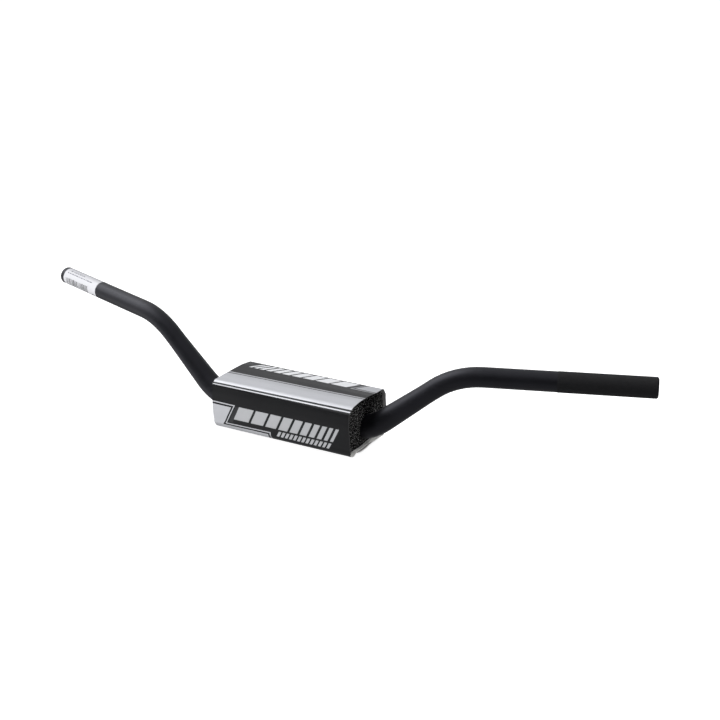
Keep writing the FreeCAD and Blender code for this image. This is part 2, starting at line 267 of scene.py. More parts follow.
def vinyl_grain(s, strength=1.0):
    """The faint orange-peel and weave that show through printed, coated fabric."""
    peel = s.bump(s.noise(900, 3, 0.55), 0.10 * strength, 0.00006)
    return s.bump(s.weave((0, 2), PRINT_WEAVE), 0.06 * strength, 0.00004, peel)


def printed(name, dark, light, low, high, metallic=0.0, specular=0.5, grain=1.0):
    """Ink on the coated fabric: two near colours in clouds, and a roughness range."""
    s = Shader(name)
    cloud = s.noise(70, 5, 0.6)
    color = s.ramp(cloud, (0.3, dark), (0.7, light))
    rough = s.span(s.noise(260, 4, 0.6), low, high, 0.3, 0.7)
    s.surface(Base_Color=color, Roughness=rough, Normal=vinyl_grain(s, grain))
    return s.surface(Metallic=metallic, Specular_IOR_Level=specular)


def hatching():
    """A printed patch of fine diagonal hatching."""
    s = Shader("print_hatch")
    slant = s.math("ADD", s.axis(0), s.math("MULTIPLY", s.axis(2), 0.8))
    woven = s.math("MULTIPLY", s.wave(slant, HATCH_PITCH), s.wave(s.axis(2), HATCH_PITCH))
    color = s.ramp(woven, (0.3, (0.012, 0.012, 0.013)), (0.7, (0.055, 0.055, 0.058)))
    return s.surface(Base_Color=color, Roughness=0.35, Normal=vinyl_grain(s))


def backing():
    """The woven grey cloth on the inner side of the coated fabric."""
    s = Shader("woven_backing")
    woven = s.weave((0, 1), BACKING_WEAVE)
    mixed = s.math("ADD", s.span(woven, 0.0, 0.6, -1, 1), s.math("MULTIPLY", s.noise(300, 3), 0.4))
    color = s.ramp(mixed, (0.25, (0.60, 0.59, 0.57)), (0.75, (0.86, 0.85, 0.83)))
    s.surface(Base_Color=color, Roughness=0.9, Normal=s.bump(woven, 0.5, 0.0001))
    return s.surface(Specular_IOR_Level=0.2, Sheen_Weight=0.3)


def cut_edge():
    """The sheared edge of the coated fabric: fibres between the print and the backing."""
    s = Shader("fabric_cut_edge")
    fray = s.noise(2600, 4, 0.7)
    color = s.ramp(fray, (0.3, (0.03, 0.03, 0.031)), (0.75, (0.12, 0.12, 0.12)))
    return s.surface(Base_Color=color, Roughness=0.85, Normal=s.bump(fray, 0.6, 0.0001))


def foam():
    """Open-cell black foam. Its colour paints shade into the cell pits and glints of light on the cell walls."""
    s = Shader("open_cell_foam")
    # Mask for the painted shade in the cell pits and the painted glints on the walls; it also makes the bumps.
    cell = s.cells(800)
    glint_fleck = s.noise(1450, 1, 0.5)
    mixed = s.math("ADD", s.math("MULTIPLY", cell, 0.45), s.math("MULTIPLY", glint_fleck, 0.65))
    # Painted shade and light: near black in the pits, rising to pale grey flecks that paint glints on the walls.
    color = s.ramp(
        mixed,
        (0.56, (0.0015, 0.0015, 0.0015)),
        (0.64, (0.009, 0.009, 0.009)),
        (0.71, (0.28, 0.28, 0.275)),
    )
    normal = s.bump(mixed, 0.9, 0.0005)
    return s.surface(Base_Color=color, Roughness=0.95, Specular_IOR_Level=0.08, Normal=normal)


def paper():
    s = Shader("label_paper")
    fibre = s.noise(1400, 4, 0.6)
    color = s.ramp(fibre, (0.3, (0.47, 0.47, 0.49)), (0.7, (0.53, 0.53, 0.55)))
    return s.surface(Base_Color=color, Roughness=0.42, Normal=s.bump(fibre, 0.08, 0.00005))


def ink(name, dark, light):
    s = Shader(name)
    color = s.ramp(s.noise(1800, 3, 0.6), (0.35, dark), (0.7, light))
    return s.surface(Base_Color=color, Roughness=0.5)


def tape(name, dark, light, fluff_scale):
    """Nylon tape, ribbed, with a look of fine fluff."""
    s = Shader(name)
    rib = s.wave(s.axis(0), TAPE_RIB)
    fluff = s.noise(fluff_scale, 4, 0.75)
    color = s.ramp(fluff, (0.3, dark), (0.75, light))
    normal = s.bump(fluff, 0.9, 0.0003, s.bump(rib, 0.3, 0.0001))
    s.surface(Base_Color=color, Roughness=0.88, Normal=normal)
    return s.surface(Specular_IOR_Level=0.25, Sheen_Weight=0.4)


def thread():
    """Twisted polyester thread."""
    s = Shader("black_thread")
    lay = s.math("ADD", s.axis(0), s.math("MULTIPLY", s.axis(1), 1.6))
    twist = s.wave(lay, THREAD_LAY)
    color = s.ramp(s.span(twist, 0, 1, -1, 1), (0.2, (0.012, 0.012, 0.013)), (0.9, (0.05, 0.05, 0.055)))
    return s.surface(Base_Color=color, Roughness=0.55, Normal=s.bump(twist, 0.6, 0.0001))


BLACK_INK = printed(
    "print_black", (0.0032, 0.0032, 0.0038), (0.0046, 0.0046, 0.0053), 0.32, 0.40, specular=0.46
)
SILVER_INK = printed(
    "print_silver", (0.53, 0.535, 0.56), (0.55, 0.555, 0.58), 0.34, 0.36, metallic=0.40, grain=0.3
)
GREY_INK = printed(
    "print_grey", (0.42, 0.424, 0.437), (0.45, 0.454, 0.467), 0.30, 0.34, metallic=0.25, grain=0.4
)
PALE_INK = printed(
    "print_pale", (0.84, 0.845, 0.86), (0.88, 0.885, 0.90), 0.30, 0.34, metallic=0.20, grain=0.3
)
HATCH = hatching()
BACKING = backing()
CUT_EDGE = cut_edge()
FOAM = foam()


# --- Mesh helpers ---
def add_object(name, mesh, *materials):
    for material in materials:
        mesh.materials.append(material)
    obj = bpy.data.objects.new(name, mesh)
    bpy.context.scene.collection.objects.link(obj)
    return obj


def new_mesh(name, points, faces):
    mesh = bpy.data.meshes.new(name)
    mesh.from_pydata([tuple(point) for point in points], [], faces)
    return mesh


def ring_faces(rows, count):
    """Four-sided faces that join rings of points, each of the same count, one after another."""
    faces = []
    for row in range(rows - 1):
        for index in range(count):
            a, b = row * count + index, row * count + (index + 1) % count
            faces.append([a, b, b + count, a + count])
    return faces


def turn_outwards(mesh):
    """Make the faces of a closed mesh look outwards."""
    work = bmesh.new()
    work.from_mesh(mesh)
    bmesh.ops.recalc_face_normals(work, faces=work.faces)
    work.to_mesh(mesh)
    work.free()


def box(left, right, low, high):
    return [(left, low), (right, low), (right, high), (left, high)]


def arch(left, right, base, top):
    """Corners up from the left end of a base, across the top, and down to the base's right end."""
    return [(left, base), (left, top), (right, top), (right, base)]


def extent(points):
    """Lowest and highest corners of 2-D points."""
    low = [min(point[axis] for point in points) for axis in (0, 1)]
    high = [max(point[axis] for point in points) for axis in (0, 1)]
    return low, high


def rounded(corners, radii, step):
    """An open outline with its inner corners rounded, as 2-D points no more than a step apart."""
    corners = [Vector(corner) for corner in corners]
    points = [corners[0]]
    for before, corner, after, radius in zip(corners, corners[1:], corners[2:], radii):
        inwards = (corner - before).normalized()
        onwards = (after - corner).normalized()
        turn = inwards.angle(onwards)
        start = corner - inwards * radius * math.tan(turn / 2)
        side = (onwards - inwards * inwards.dot(onwards)).normalized()
        centre = start + side * radius
        steps = max(2, math.ceil(radius * turn / step))
        for index in range(steps + 1):
            angle = turn * index / steps
            points.append(centre - side * radius * math.cos(angle) + inwards * radius * math.sin(angle))
    points.append(corners[-1])
    spaced = [points[0]]
    for here, there in zip(points, points[1:]):
        steps = max(1, math.ceil((there - here).length / step))
        spaced += [here.lerp(there, (index + 1) / steps) for index in range(steps)]
    return np.array(spaced)


class Outline:
    """A section line: its points, its outward normals, and the distance along it."""

    def __init__(self, points):
        gaps = np.linalg.norm(np.diff(points, axis=0), axis=1)
        keep = np.concatenate([[True], gaps > 1e-9])
        self.points = points[keep]
        gaps = np.linalg.norm(np.diff(self.points, axis=0), axis=1)
        self.along = np.concatenate([[0], np.cumsum(gaps)])
        self.length = self.along[-1]
        tangent = np.gradient(self.points, self.along, axis=0)
        tangent /= np.linalg.norm(tangent, axis=1)[:, None]
        self.normals = np.stack([-tangent[:, 1], tangent[:, 0]], axis=1)

    def at(self, v):
        """Y and Z, and the normal's Y and Z, at a distance along the line."""
        return [np.interp(v, self.along, column) for column in np.hstack([self.points, self.normals]).T]

    def nearest(self, y, z):
        gap = (self.points[:, 0] - y) ** 2 + (self.points[:, 1] - z) ** 2
        return self.along[int(np.argmin(gap))]


def smooth_step(value, low, high):
    t = np.clip((value - low) / (high - low), 0, 1)
    return t * t * (3 - 2 * t)


# --- The wrap's shape: a rounded section that the foam pushes out, differently at its two ends ---
STEP = 0.2 * MM
WRAP_CORNERS = [(FRONT_FOLD, BOTTOM), *arch(FRONT, BACK, BOTTOM, TOP), (BACK_FOLD, BOTTOM)]
WRAP_ROUNDS = [BOTTOM_ROUND, TOP_ROUND, TOP_ROUND, BOTTOM_ROUND]
WRAP = Outline(rounded(WRAP_CORNERS, WRAP_ROUNDS, STEP))
# How far the wrap is pushed at places round its section: Y, Z, push in Y, push in Z, in millimetres.
RIGHT_END_PUSH = [
    (-35.4, -21.3, 0, 0), (-41.4, -19.3, 0.8, 0.9), (-43.5, -13.0, 1.2, 0),
    (-43.5, 2.0, -0.8, 0), (-43.5, 17.0, -3.3, 0), (-43.5, 27.0, -3.4, 0),
    (-43.5, 30.5, -3.0, -0.3), (-40.9, 36.9, -0.6, -2.2), (-34.5, 39.5, 0, -1.9),
    (-22.0, 39.5, 0, -0.1), (0, 39.5, 0, 0), (18.0, 39.5, 0, -1.1),
    (33.0, 39.5, 0, -1.2), (39.4, 36.9, -2.4, -3.2), (42.0, 25.0, -1.9, 0),
    (42.0, 15.0, 0, 0), (42.0, -12.0, -0.5, 0), (40.0, -19.3, -1.8, 2.0),
    (33.9, -21.3, 0, 2.2),
]
LEFT_END_PUSH = [
    (-35.4, -21.3, 0.6, 0.1), (-41.4, -19.3, 3.3, 1.7), (-43.5, -11.0, 2.7, 0),
    (-43.5, -2.0, 1.1, 0), (-43.5, 10.0, 0.1, 0), (-43.5, 24.0, 0.2, 0),
    (-43.5, 30.5, 1.0, -0.3), (-40.9, 36.9, 0.7, -1.9), (-34.5, 39.5, 0, -2.5),
    (-22.0, 39.5, 0, -1.1), (0, 39.5, 0, 0.3), (18.0, 39.5, 0, 1.1),
    (33.0, 39.5, 0, 0.4), (39.4, 36.9, 0.5, -0.3), (42.0, 25.0, 0.2, 0),
    (42.0, -12.0, -0.6, 0), (40.0, -19.3, -1.4, 0.9), (33.9, -21.3, 0, 0),
]
PUSH_BLUR = 3.0 * MM
RIPPLE_HEIGHT = 0.10 * MM
RIPPLE_ALONG = 19 * MM
RIPPLE_SLANT = 31 * MM
RIPPLE_ROUND = 11 * MM
BACK_LIFT = 2.2 * MM
LIFT_FROM, LIFT_TO = -14 * MM, 12 * MM


def push_curve(pushes):
    """Smooth pushes in Y and Z along the whole outline."""
    where = [WRAP.nearest(y * MM, z * MM) for y, z, _, _ in pushes]
    curves = []
    window = int(PUSH_BLUR / STEP)
    kernel = np.hanning(2 * window + 1)
    kernel /= kernel.sum()
    for column in (2, 3):
        raw = np.interp(WRAP.along, where, [row[column] * MM for row in pushes])
        padded = np.concatenate([np.full(window, raw[0]), raw, np.full(window, raw[-1])])
        curves.append(np.convolve(padded, kernel, mode="valid"))
    return curves


RIGHT_CURVE = push_curve(RIGHT_END_PUSH)
LEFT_CURVE = push_curve(LEFT_END_PUSH)


def share_along(u):
    """0 at the pad's -X end to 1 at its +X end."""
    return np.clip(0.5 + u / (2 * PAD_HALF), 0, 1)


def push(u, v):
    """The push in Y and Z at a place on the wrap: its distance along the pad and round it."""
    share = share_along(u)
    found = []
    for right, left in zip(RIGHT_CURVE, LEFT_CURVE):
        found.append(share * np.interp(v, WRAP.along, right) + (1 - share) * np.interp(v, WRAP.along, left))
    return found


def wrap_place(u, v, depth):
    """Points of the wrap in the pad's frame. Depth is below its outer face."""
    y, z, normal_y, normal_z = WRAP.at(v)
    push_y, push_z = push(u, v)
    ripple = RIPPLE_HEIGHT * np.sin(u / RIPPLE_ALONG + v / RIPPLE_SLANT) * np.sin(v / RIPPLE_ROUND)
    out = ripple - depth
    return np.stack([u, y + push_y + normal_y * out, z + push_z + normal_z * out], axis=-1)


def bottom_lift(u, y):
    """How far the underside rises towards the back at the pad's +X end."""
    return BACK_LIFT * share_along(u) * smooth_step(y, LIFT_FROM, LIFT_TO)


# --- Printed sheets: a flat cut whose printed shapes are faces of their own ---
def dense(polygon, step):
    """A polygon with points added along its sides."""
    out = []
    for here, there in zip(polygon, polygon[1:] + polygon[:1]):
        steps = max(1, math.ceil((there - here).length / step))
        out += [here.lerp(there, index / steps) for index in range(steps)]
    return out


def anticlockwise(polygon):
    points = [Vector(point) for point in polygon]
    area = sum(a.x * b.y - b.x * a.y for a, b in zip(points, points[1:] + points[:1]))
    return points if area > 0 else points[::-1]


def flat_cut(outline, shapes, spacing):
    """Triangles over an outline, as 2-D points, faces, and the number of the shape each lies in.
    A later shape lies over an earlier one, and 0 is the outline itself."""
    points, loops = [], []
    for polygon in [outline, *shapes]:
        ring = dense(anticlockwise(polygon), spacing[1])
        loops.append(list(range(len(points), len(points) + len(ring))))
        points += ring
    low, high = extent(outline)
    counts = [max(1, round((high[axis] - low[axis]) / spacing[axis])) for axis in (0, 1)]
    for i in range(1, counts[0]):
        for j in range(1, counts[1]):
            x = low[0] + (high[0] - low[0]) * i / counts[0]
            y = low[1] + (high[1] - low[1]) * j / counts[1]
            points.append(Vector((x, y)))
    verts, _, faces, _, _, sources = delaunay_2d_cdt(points, [], loops, 0, 1e-7)
    kept = [(face, max(source)) for face, source in zip(faces, sources) if 0 in source]
    return np.array([tuple(v) for v in verts]), [face for face, _ in kept], [index for _, index in kept]


def sheet_mesh(name, cut, place, thickness, face_slots, backing_slot, edge_slot=None):
    """A cloth of some thickness from a flat cut. place(u, v, depth) gives points in the pad's frame.
    edge_slot(a, b) gives the slot of the cut edge between two flat points, or it is the backing's."""
    flat, faces, shapes = cut
    used = sorted({index for face in faces for index in face})
    number = {old: new for new, old in enumerate(used)}
    flat = flat[used]
    faces = [[number[index] for index in face] for face in faces]
    u, v = flat[:, 0], flat[:, 1]
    outer, inner = place(u, v, 0.0), place(u, v, thickness)
    tiny = 0.2 * MM
    along_u = place(u + tiny, v, 0.0) - place(u - tiny, v, 0.0)
    along_v = place(u, v + tiny, 0.0) - place(u, v - tiny, 0.0)
    normals = np.cross(along_u, along_v)
    normals /= np.linalg.norm(normals, axis=1)[:, None]
    if np.mean(np.sum(normals * (outer - inner), axis=1)) < 0:
        normals = -normals
    first = faces[0]
    corner = [outer[index] for index in first]
    facing = np.cross(corner[1] - corner[0], corner[2] - corner[0])
    if np.dot(facing, normals[first[0]]) < 0:
        faces = [face[::-1] for face in faces]
    count = len(flat)
    sides = dict.fromkeys(side for face in faces for side in zip(face, face[1:] + face[:1]))
    rim = [(a, b) for a, b in sides if (b, a) not in sides]
    polygons = faces + [[index + count for index in face[::-1]] for face in faces]
    polygons += [[b, a, a + count, b + count] for a, b in rim]
    corners = from_pad(np.concatenate([outer, inner]))
    mesh = new_mesh(name, corners, polygons)
    slots = [face_slots[index] for index in shapes] + [backing_slot] * len(faces)
    slots += [edge_slot(flat[a], flat[b]) if edge_slot else backing_slot for a, b in rim]
    mesh.polygons.foreach_set("material_index", slots)
    mesh.polygons.foreach_set("use_smooth", [True] * len(polygons))
    world = from_pad(normals) - from_pad((0, 0, 0))
    custom = [world[i] for face in faces for i in face]
    custom += [-world[i] for face in faces for i in face[::-1]]
    for a, b in rim:
        side = np.cross(corners[a] - corners[b], corners[a + count] - corners[a])
        side /= max(np.linalg.norm(side), 1e-12)
        custom += [side] * 4
    mesh.normals_split_custom_set([tuple(normal) for normal in custom])
    mesh.validate()
    return mesh


# --- The wrap's print. A place on the flat cut is its distance along the pad and round the wrap. ---
BLACK, SILVER, GREY, PALE, HATCHED, BACKED, CUT = range(7)
FRONT_MIDDLE = WRAP.nearest(FRONT, 0.0)
TOP_MIDDLE = WRAP.nearest(0.0, TOP)
# In millimetres: the silver band over the front shoulder, with a pin line below it and one above it. A
# pair is the height at the pad's left end and at its right end, as the cover sits a little askew.
LOWER_PIN = (33.4, 34.4)
LOWER_PIN_WIDTH = 1.6
LOWER_GAP = 2.4
BAND_HEAD = -13.6
UPPER_GAP = 1.7
UPPER_PIN_WIDTH = 2.4
CREST_TURN_Y = 25.3
# The crest, in millimetres from the bar's middle. FAR and BELOW_FACE lie past the cut's edges.
FAR = 200.0
BELOW_FACE = -47.0
BLOCK_TOP = 12.8
STRIP_END = -0.6
SLANT_INSET = 1.55
HATCH_PATCH = [(-47.4, 11.1), (-42.4, 11.1), (-53.2, -10.6), (-58.6, -10.6)]
OUTLINE_WIDTH = 1.4
BLOCK_INSET = 2 * OUTLINE_WIDTH + 0.8
WIDE_BARS = {
    "left": -51.0, "right": 82.0, "low": -5.6, "high": 11.6, "lean": 9.0, "gap": 2.6,
    "widths": [17, 14, 12, 10, 8.5, 7.2, 6, 5, 4, 3.2],
}
SMALL_BARS = {
    "left": 7.4, "right": 76.5, "low": -15.0, "high": -8.0, "lean": 3.6, "gap": 2.0,
    "widths": [3.4] * 13,
}


def front_place(x, z):
    """A place on the front face, from millimetres from the bar's middle."""
    return (x * MM - PAD_SHIFT, FRONT_MIDDLE + z * MM)


def top_place(x, y):
    return (x * MM - PAD_SHIFT, TOP_MIDDLE + y * MM)


def turned_place(x, z):
    """The front face's art, turned half round about the pad's middle, at the wrap's back edge."""
    u, v = front_place(x, z)
    return (-u, FRONT_MIDDLE + TOP_MIDDLE + CREST_TURN_Y * MM - v)


def on_cut(place, *corners):
    """A printed polygon, kept inside the flat cut."""
    out = []
    for x, other in corners:
        u, v = place(x, other)
        out.append((min(max(u, -PAD_HALF), PAD_HALF), min(max(v, 0.0), WRAP.length)))
    return out


def stripe(low, high):
    """A band the whole length of the pad, from and to places given for its left and right ends."""
    return [(-PAD_HALF, low[0]), (PAD_HALF, low[1]), (PAD_HALF, high[1]), (-PAD_HALF, high[0])]


def front_heights(pair, more=0.0):
    return [front_place(0, height + more)[1] for height in pair]


def top_reach(y):
    return [top_place(0, y)[1]] * 2


def slanted_bars(place, left, right, low, high, lean, widths, gap):
    """A row of slanted bars between two heights. lean is how far their tops stand to the right."""
    scale = (right - left) / (sum(widths) + gap * (len(widths) - 1))
    at, bars = left, []
    for width in widths:
        end = at + width * scale
        bars.append(on_cut(place, (at, low), (end, low), (end + lean, high), (at + lean, high)))
        at = end + gap * scale
    return bars


def stepped(place, inset):
    """The block at the lower left with the strip that runs along the lower edge from it."""
    return on_cut(
        place,
        (-FAR, BLOCK_TOP - inset),
        (-47.8 - inset * SLANT_INSET, BLOCK_TOP - 0.2 - inset),
        (-61.6 - inset * SLANT_INSET, -12.3 - inset),
        (STRIP_END - inset, -11.5 - inset),
        (STRIP_END - inset, BELOW_FACE),
        (-FAR, BELOW_FACE),
    )


def crest(place, bar_slot):
    """The art of one long face: a stepped block in outlines, a hatched patch and slanted bars."""
    art = [
        (SILVER, stepped(place, 0.0)),
        (BLACK, stepped(place, OUTLINE_WIDTH)),
        (SILVER, stepped(place, BLOCK_INSET)),
        (HATCHED, on_cut(place, *HATCH_PATCH)),
    ]
    for row in (WIDE_BARS, SMALL_BARS):
        art += [(bar_slot, bar) for bar in slanted_bars(place, **row)]
    return art


def wrap_print():
    upper = BAND_HEAD + UPPER_GAP
    art = [
        (SILVER, stripe(front_heights(LOWER_PIN), front_heights(LOWER_PIN, LOWER_PIN_WIDTH))),
        (SILVER, stripe(front_heights(LOWER_PIN, LOWER_PIN_WIDTH + LOWER_GAP), top_reach(BAND_HEAD))),
        (SILVER, stripe(top_reach(upper), top_reach(upper + UPPER_PIN_WIDTH))),
    ]
    return art + crest(front_place, GREY) + crest(turned_place, PALE)


def make_wrap():
    art = wrap_print()
    outline = box(-PAD_HALF, PAD_HALF, 0, WRAP.length)
    cut = flat_cut(outline, [polygon for _, polygon in art], spacing=(3.0 * MM, 1.6 * MM))
    slots = [BLACK] + [slot for slot, _ in art]
    shoulders = [top_place(0, side * (BACK - TOP_ROUND) / MM)[1] for side in (-1, 1)]
    corner = front_place(0, (BOTTOM + BOTTOM_ROUND / 2) / MM)[1]

    def edge_slot(a, b):
        """The ends' cut edge: inked along the top, and turned to show the backing below the foam."""
        v = (a[1] + b[1]) / 2
        if v < corner:
            return BACKED
        return BLACK if shoulders[0] < v < shoulders[1] else CUT

    mesh = sheet_mesh("printed_wrap", cut, wrap_place, FABRIC, slots, BACKED, edge_slot)
    inks = [BLACK_INK, SILVER_INK, GREY_INK, PALE_INK, HATCH, BACKING, CUT_EDGE]
    wrap = add_object("printed_wrap", mesh, *inks)
    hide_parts("pad_cover")
    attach(wrap, "handlebar")


# --- Flaps under the pad ---
SEAM_ROWS = [HOOK_LOW[1] + 2.5 * MM, HOOK_HIGH[1] - 2.5 * MM]
FLAP_CORNER = 8.0 * MM
FLAP_STEP = 1.0 * MM
FOLD_ZONE = 3.0 * MM
PUCKER_DEPTH = 0.40 * MM
PUCKER_REACH = 0.8 * MM
PUCKER_WAVE = 1.02 * MM
PUCKER_LOSS = 0.6
RISE_FROM, RISE_TO = -33.5 * MM, -26.0 * MM
INNER_FADE = 6 * MM


def pucker(u, y):
    """The dimple that each row of stitches pulls into the cloth."""
    depth = 0.0
    for row in SEAM_ROWS:
        pull = 0.8 + 0.2 * np.sin(u / PUCKER_WAVE)
        depth = depth + PUCKER_DEPTH * pull * np.exp(-(((y - row) / PUCKER_REACH) ** 2))
    return depth


def flap_place(u, y, depth):
    """The closure flap: its outer face looks down, and its inner face is dimpled less."""
    z = BOTTOM + depth + bottom_lift(u, y) + pucker(u, y) * (1 - PUCKER_LOSS * depth / FABRIC)
    return np.stack([u, y, z], axis=-1)


def inner_place(u, y, depth):
    """The inner flap rises from the front fold over the closure flap's tip."""
    rise = (HOOK_HIGH[2] - BOTTOM) * smooth_step(y, RISE_FROM, RISE_TO)
    push_y, push_z = push(u, 0.0)
    fade = 1 - smooth_step(y, FRONT_FOLD, FRONT_FOLD + INNER_FADE)
    z = BOTTOM + depth + rise + bottom_lift(u, y) + push_z * fade
    return np.stack([u, y + push_y * fade, z], axis=-1)


def make_flap(name, node, place, outline, fold, spacing):
    """A flap of cloth from a flat cut of its outline, placed by place(u, y, depth). The places at fold[0] and
    fold[1] are worked out but not used.
    """
    cut = flat_cut(outline, [], spacing)
    mesh = sheet_mesh(name, cut, place, FABRIC, [0], 1)
    flap = add_object(name, mesh, BLACK_INK, BACKING)
    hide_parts(node)
    start, end = [tuple(from_pad((0, y, BOTTOM))) for y in fold]
    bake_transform(flap)
    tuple(start)
    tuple(end)


def make_flaps():
    square = arch(-PAD_HALF, PAD_HALF, BACK_FOLD, FLAP_TIP)
    outline = [tuple(point) for point in rounded(square, [FLAP_CORNER, FLAP_CORNER], FLAP_STEP)]
    make_flap(
        "closure_flap_cloth", "closure_flap", flap_place, outline,
        fold=(BACK_FOLD, BACK_FOLD - FOLD_ZONE), spacing=(2.0 * MM, 0.8 * MM),
    )
    outline = arch(-PAD_HALF, PAD_HALF, FRONT_FOLD, INNER_TIP)
    make_flap(
        "inner_flap_cloth", "inner_flap", inner_place, outline,
        fold=(FRONT_FOLD, FRONT_FOLD + FOLD_ZONE), spacing=(4.0 * MM, 1.0 * MM),
    )


# --- Foam block ---
FOAM_SLIT = 1.0 * MM
HOLE_GAP = 0.55 * MM
HOLE_ROUGH = 0.25 * MM
HOLE_STEPS = 72
ROUGH_ROUND, ROUGH_ALONG = 4, 60
FOAM_STATIONS = 45
CELL_SIZE = 1.25 * MM
CELL_STEP = 0.62 * MM
CELL_JITTER = 0.2
CELL_DEPTH = 0.75 * MM
CELL_WALL = 0.35
CELL_RAISE = 0.25
CELL_UNEVEN = 0.35
CELL_NOISE = 900
SIDE_FROM, SIDE_TO = 28 * MM, 36 * MM
UNDER_FROM, UNDER_TO = 2 * MM, 6 * MM


def bar_section(u):
    """Centre and half sizes, in Y and Z, of the bar where the pad's cross-section at u cuts it."""
    cutter = bmesh.new()
    cutter.from_mesh(TUBE.data)
    place = Vector(from_pad((u, 0, 0)))
    made = bmesh.ops.bisect_plane(
        cutter, geom=cutter.verts[:] + cutter.edges[:] + cutter.faces[:], plane_co=place, plane_no=PAD_X
    )
    cuts = [v.co[:] for v in made["geom_cut"] if isinstance(v, bmesh.types.BMVert)]
    cutter.free()
    points = to_pad(cuts)[:, 1:]
    low, high = points.min(0), points.max(0)
    return (low + high) / 2, (high - low) / 2


def foam_ring(u, section, hole):
    """The foam's closed outline at u: up the slit, round the hole, and round the outside."""
    y, z = section
    centre, half = hole
    slit = math.asin(FOAM_SLIT / (half[0] + HOLE_GAP))
    ring = []
    for index in range(HOLE_STEPS + 1):
        angle = -math.pi / 2 - slit - (2 * math.pi - 2 * slit) * index / HOLE_STEPS
        spot = Vector((math.cos(angle) * ROUGH_ROUND, math.sin(angle) * ROUGH_ROUND, u * ROUGH_ALONG))
        rough = HOLE_ROUGH * noise.noise(spot)
        across = (half[0] + HOLE_GAP + rough) * math.cos(angle)
        up = (half[1] + HOLE_GAP + rough) * math.sin(angle)
        ring.append((centre[0] + across, centre[1] + up))
    return list(zip(y, z)) + ring


FOAM_ARCH = arch(FOAM_LOW[1], FOAM_HIGH[1], FOAM_LOW[2], FOAM_HIGH[2])
FOAM_CORNERS = [(-FOAM_SLIT, FOAM_LOW[2]), *FOAM_ARCH, (FOAM_SLIT, FOAM_LOW[2])]
FOAM_ROUNDS = [BOTTOM_ROUND - 2 * FABRIC, TOP_ROUND - FABRIC, TOP_ROUND - FABRIC, BOTTOM_ROUND - 2 * FABRIC]
FOAM_OUTSIDE = Outline(rounded(FOAM_CORNERS, FOAM_ROUNDS, 1.3 * MM))


def foam_outside(u):
    """The foam's outer line at u, pushed as the wrap is there."""
    y, z = FOAM_OUTSIDE.points[:, 0], FOAM_OUTSIDE.points[:, 1]
    nearest = np.array([WRAP.nearest(a, b) for a, b in zip(y, z)])
    push_y, push_z = push(u, nearest)
    above = smooth_step(z, FOAM_LOW[2] + UNDER_FROM, FOAM_LOW[2] + UNDER_TO)
    side = np.maximum(smooth_step(np.abs(y), SIDE_FROM, SIDE_TO), above)
    return y + push_y * side, z + push_z * side + bottom_lift(u, y) * (1 - side)


def make_foam():
    """Walls from ring to ring, round the outside, the slit and the hole, and a pitted face at each end."""
    stations = np.linspace(-FOAM_HALF, FOAM_HALF, FOAM_STATIONS)
    rings = [foam_ring(u, foam_outside(u), bar_section(u)) for u in stations]
    count = len(rings[0])
    points = [(u, y, z) for u, ring in zip(stations, rings) for y, z in ring]
    faces = ring_faces(len(stations), count)
    walls = len(faces)
    for row, sign in ((0, -1), (len(stations) - 1, 1)):
        ring = [Vector(point) for point in rings[row]]
        flat, cap = cap_cells(ring, row)
        start = len(points)
        number = {index: row * count + index for index in range(count)}
        for index, (point, depth) in enumerate(flat[count:], start=count):
            number[index] = start + index - count
            points.append((stations[row] - sign * depth, point[0], point[1]))
        faces += [[number[index] for index in (face if sign < 0 else face[::-1])] for face in cap]
    mesh = new_mesh("foam_block", from_pad(points), faces)
    mesh.polygons.foreach_set("use_smooth", [index < walls for index in range(len(faces))])
    turn_outwards(mesh)
    block = add_object("foam_block", mesh, FOAM)
    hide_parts("foam_core")
    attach(block, "handlebar")


def cap_cells(ring, seed):
    """Triangles over the end of the foam, and their points, each with the depth of the cell it is in."""
    low, high = extent(ring)
    draw = random.Random(seed)
    points = list(ring)
    rows = int((high[1] - low[1]) / CELL_STEP)
    columns = int((high[0] - low[0]) / CELL_STEP)
    for row in range(1, rows):
        for column in range(1, columns):
            y = low[0] + (column + 0.5 * (row % 2) + draw.uniform(-CELL_JITTER, CELL_JITTER)) * CELL_STEP
            z = low[1] + (row + draw.uniform(-CELL_JITTER, CELL_JITTER)) * CELL_STEP
            points.append(Vector((y, z)))
    verts, _, faces, origins, _, _ = delaunay_2d_cdt(points, [], [list(range(len(ring)))], 1, 1e-8)
    position = {}
    for index, origin in enumerate(origins):
        for old in origin:
            if old < len(ring):
                position[index] = old
    flat = [(point, 0.0) for point in ring]
    for index, point in enumerate(verts):
        if index in position:
            continue
        position[index] = len(flat)
        near = noise.voronoi(Vector((point[0], point[1], seed * MM)) / CELL_SIZE)[0]
        wall = near[1] - near[0]
        uneven = CELL_UNEVEN * noise.noise(Vector(point).to_3d() * CELL_NOISE)
        flat.append((point, CELL_DEPTH * (min(wall / CELL_WALL, 1.0) - CELL_RAISE + uneven)))
    return flat, [[position[index] for index in face] for face in faces]


# --- Bar: knurl and label ---
TIP_CHAMFER = 1.2 * MM
KNURL_LENGTH = 101.6 * MM
KNURL_CELL = 1.05 * MM
KNURL_DEPTH = 0.30 * MM
KNURL_VALLEY = 0.02 * MM
KNURL_SUNK = 0.3 * MM


class Grip:
    """The straight end of one side of the bar, from its mount."""

    def __init__(self, name):
        mount = MOUNTS[name]
        self.out = Vector(mount["axis"]).normalized()
        self.radius = mount["dims"]["r_mm"] * MM
        half = mount["dims"]["length_mm"] * MM / 2
        self.end = Vector(mount["pos_m"]) + self.out * (half + TIP_CHAMFER)
        self.up = (Z_AXIS - self.out * self.out.z).normalized()
        self.side = self.out.cross(self.up)

    def at(self, inset, angle, radius):
        """A point at a distance in from the end, at an angle from the top."""
        around = self.up * math.cos(angle) + self.side * math.sin(angle)
        return self.end - self.out * inset + around * radius


